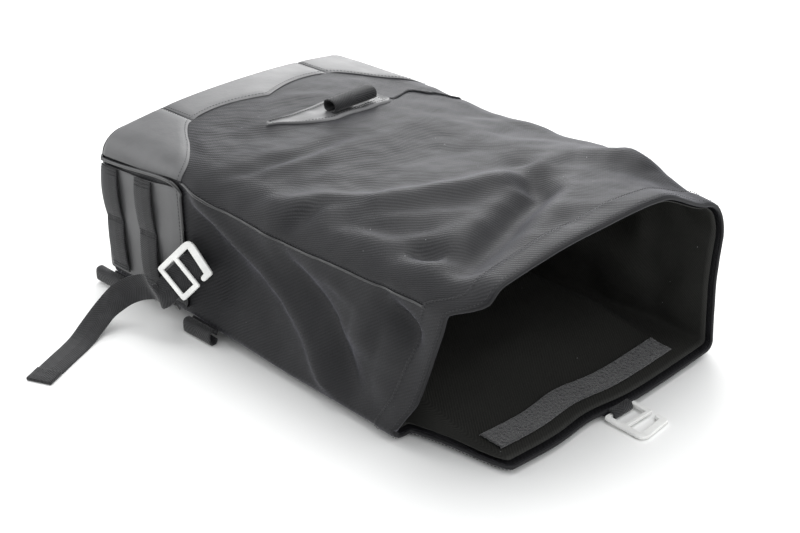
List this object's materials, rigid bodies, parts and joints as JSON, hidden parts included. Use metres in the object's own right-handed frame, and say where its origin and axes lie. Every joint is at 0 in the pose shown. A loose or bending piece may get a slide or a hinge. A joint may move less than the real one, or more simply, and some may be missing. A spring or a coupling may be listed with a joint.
{
  "type": "pannier bag",
  "caption": "Roll-top bicycle pannier bag lying on its back with its mouth open, with a free side strap, metal hooks and rack hardware under the back.",
  "frame": {"origin": "on the ground, below the middle of the bag's box without its free strap and the hook on it", "axes": "+X from the base end to the mouth, +Y towards the far side, +Z from the back up to the front"},
  "size_m": [0.5354, 0.467, 0.1883],
  "materials": {
    "canvas": "charcoal woven canvas",
    "lining": "dark woven lining",
    "board": "stiffener sheet",
    "coated": "smooth coated cloth, satin",
    "piping": "smooth black piping",
    "webbing": "black woven webbing",
    "grip_strip": "hook and loop tape",
    "tan_patch": "tan tape",
    "white_metal": "off-white powder coat",
    "plastic": "moulded nylon",
    "steel": "plain steel"
  },
  "bodies": {
    "bag": {"canvas_body": "canvas", "mouth_hem": "canvas", "inner_liner": "lining", "back_board": "board", "base_board": "board", "front_corner_near": "coated", "front_lower_panel": "coated", "front_corner_far": "coated", "base_panel": "coated", "side_panel_near": "coated", "side_panel_far": "coated", "front_patch": "coated", "side_piping_near": "piping", "side_piping_far": "piping", "pocket_binding": "piping", "side_strip_near_front": "webbing", "side_strip_near_rear": "webbing", "side_strip_far_front": "webbing", "side_strip_far_rear": "webbing", "front_light_loop": "webbing", "mouth_hook_tab": "webbing", "side_strap": "webbing", "side_strap_end": "webbing", "edge_loop_near_rear": "webbing", "edge_loop_near_front": "webbing", "edge_loop_far_rear": "webbing", "edge_loop_far_front": "webbing", "grip_strip_lower": "grip_strip", "grip_strip_upper": "grip_strip", "inner_tab": "tan_patch", "upper_rail": "plastic", "lower_rail": "plastic", "upper_screw_near": "steel", "upper_screw_far": "steel", "lower_screw_near": "steel", "lower_screw_far": "steel"},
    "hook_near": {"rack_hook_near": "plastic", "latch_pin_near": "steel"},
    "hook_far": {"rack_hook_far": "plastic", "latch_pin_far": "steel"},
    "latch_near": {"hook_latch_near": "plastic"},
    "latch_far": {"hook_latch_far": "plastic"},
    "pull": {"release_pull": "webbing"},
    "anchor_slide_block": {"anchor_slider": "plastic"},
    "anchor": {"anchor_hook": "plastic"},
    "side_hook": {"side_g_hook": "white_metal"},
    "mouth_hook": {"mouth_g_hook": "white_metal"}
  },
  "joints": [
    {"name": "hook_near_slide", "type": "slide", "parent": "bag", "child": "hook_near", "axis": [0, 1, 0], "range_m": [-0.017, 0.02]},
    {"name": "hook_far_slide", "type": "slide", "parent": "bag", "child": "hook_far", "axis": [0, 1, 0], "range_m": [-0.02, 0.017]},
    {"name": "latch_near_swing", "type": "hinge", "parent": "hook_near", "child": "latch_near", "pos_m": [0.01826, -0.075, 0.0106], "axis": [0, -1, 0], "range_deg": [0, 70], "stiffness_Nm_per_rad": 0.003, "springref_deg": -22.92},
    {"name": "release_pull_slide", "type": "slide", "parent": "bag", "child": "pull", "axis": [1, 0, 0], "range_m": [0, 0.012], "stiffness_N_per_m": 60, "springref_m": -0.004},
    {"name": "latch_far_swing", "type": "hinge", "parent": "hook_far", "child": "latch_far", "pos_m": [0.01826, 0.075, 0.0106], "axis": [0, -1, 0], "range_deg": [0, 70], "stiffness_Nm_per_rad": 0.003, "springref_deg": -22.92},
    {"name": "anchor_slide", "type": "slide", "parent": "bag", "child": "anchor_slide_block", "axis": [0, 1, 0], "range_m": [-0.04, 0.04]},
    {"name": "anchor_swivel", "type": "hinge", "parent": "anchor_slide_block", "child": "anchor", "pos_m": [-0.16074, 0, 0.011], "axis": [0, 0, 1], "range_deg": [-90, 90]},
    {"name": "side_hook_swing", "type": "hinge", "parent": "bag", "child": "side_hook", "pos_m": [-0.12874, -0.174, 0.057], "axis": [0.7771, 0.1263, -0.6166], "range_deg": [0, 70]},
    {"name": "mouth_hook_swing", "type": "hinge", "parent": "bag", "child": "mouth_hook", "pos_m": [0.22776, 0.016, 0.0045], "axis": [0, -1, 0], "range_deg": [0, 110]}
  ]
}
